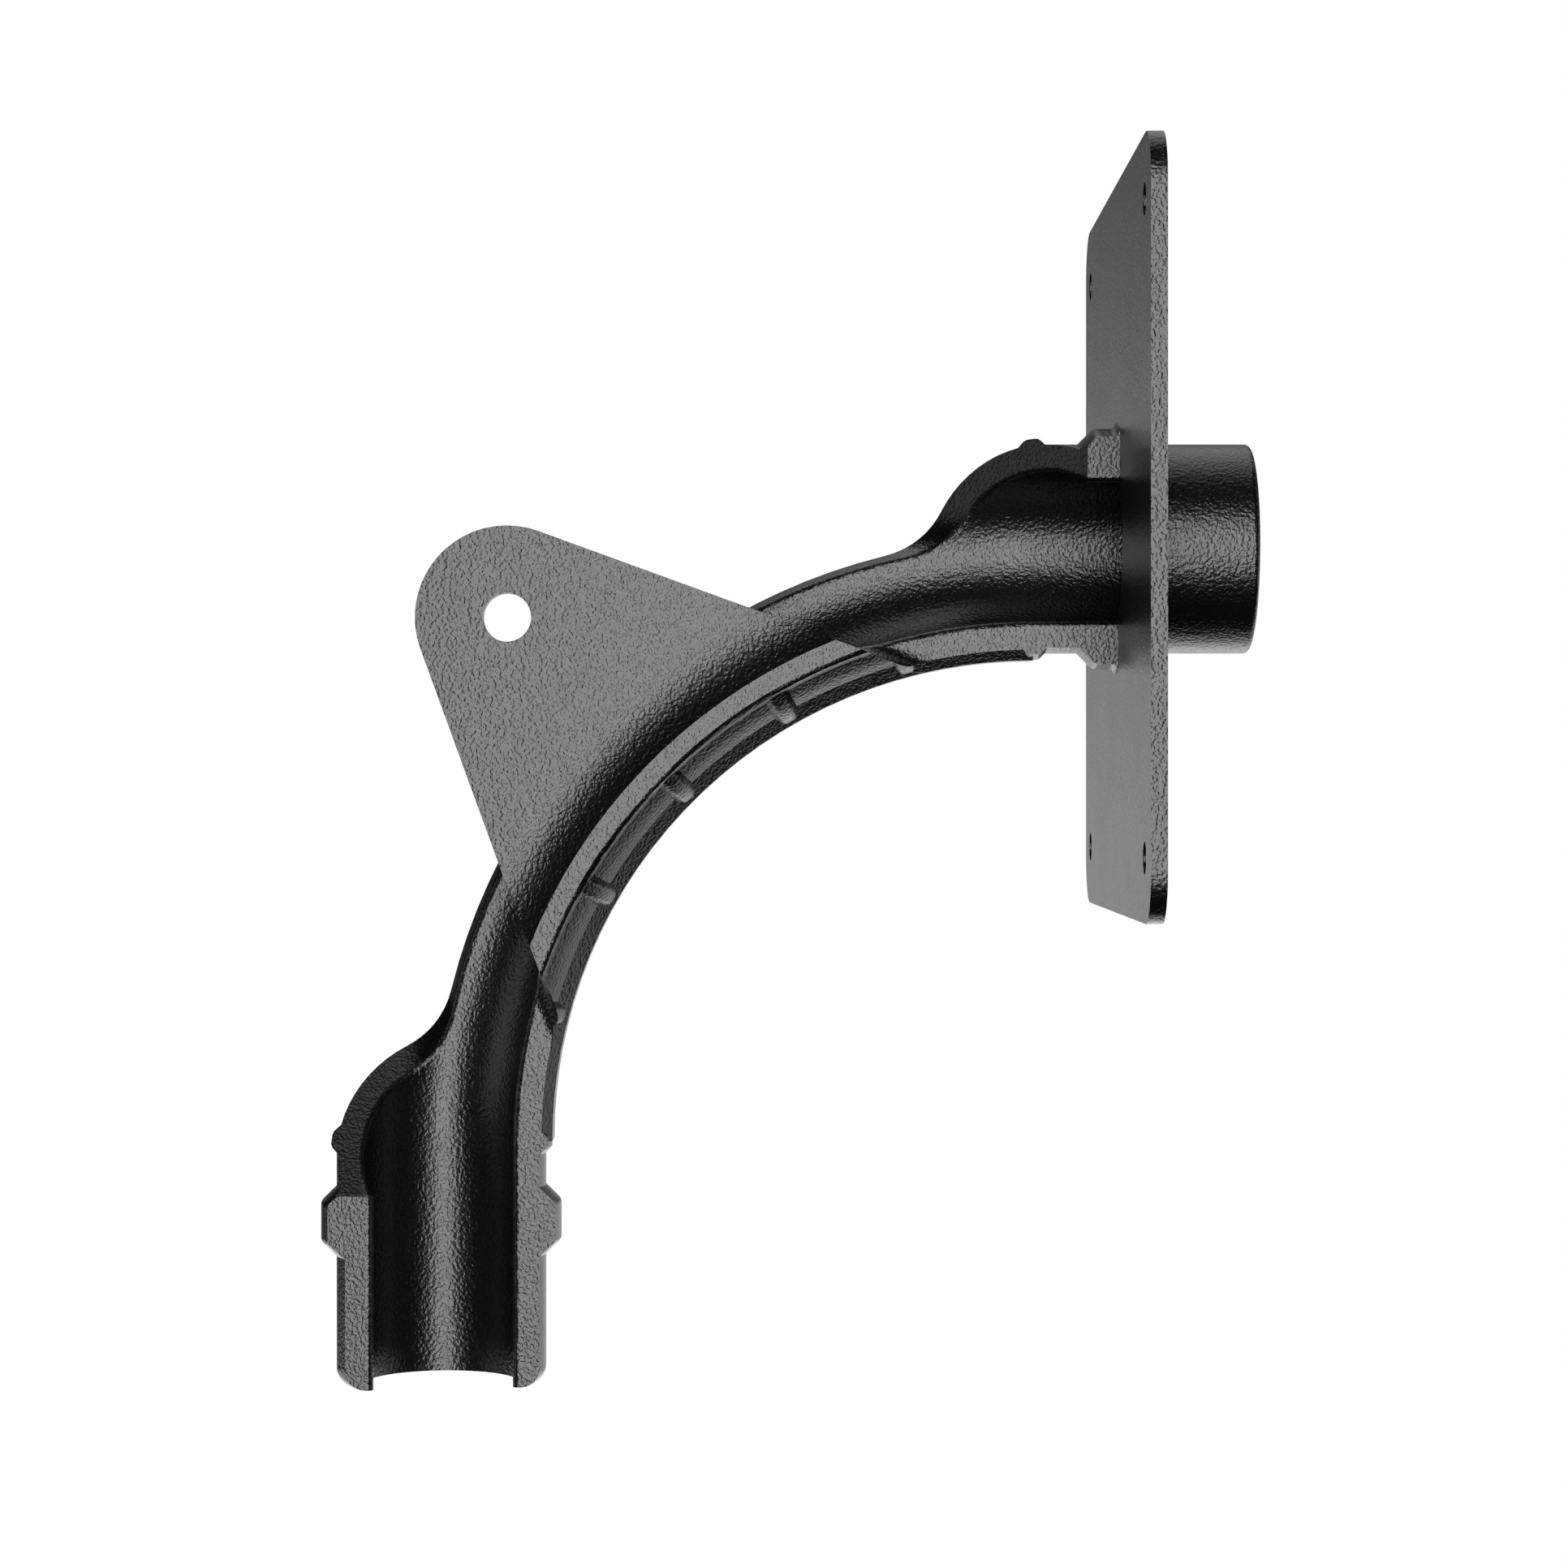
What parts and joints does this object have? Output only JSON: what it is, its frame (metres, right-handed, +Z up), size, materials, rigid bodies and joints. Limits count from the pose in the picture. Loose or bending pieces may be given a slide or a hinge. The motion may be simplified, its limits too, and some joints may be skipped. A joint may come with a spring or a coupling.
{
  "type": "pipe bend support",
  "caption": "One-piece moulded guide that turns a plastic pipe through a right angle: open lower leg, ribbed half-shell bend with fixing ear, square nail plate and stub-out sleeve.",
  "frame": {"origin": "on the stub-out sleeve's axis, in the plane of the nail plate's outer face", "axes": "+X along the sleeve, out of the stub-out; +Z up, the open lower leg points down; -Y towards the side that the fixing ear is on"},
  "size_m": [0.102, 0.08, 0.1318],
  "materials": {
    "moulded_plastic": "matte, fine spark-eroded grain"
  },
  "bodies": {
    "root": {"bend_support": "moulded_plastic"}
  },
  "joints": []
}
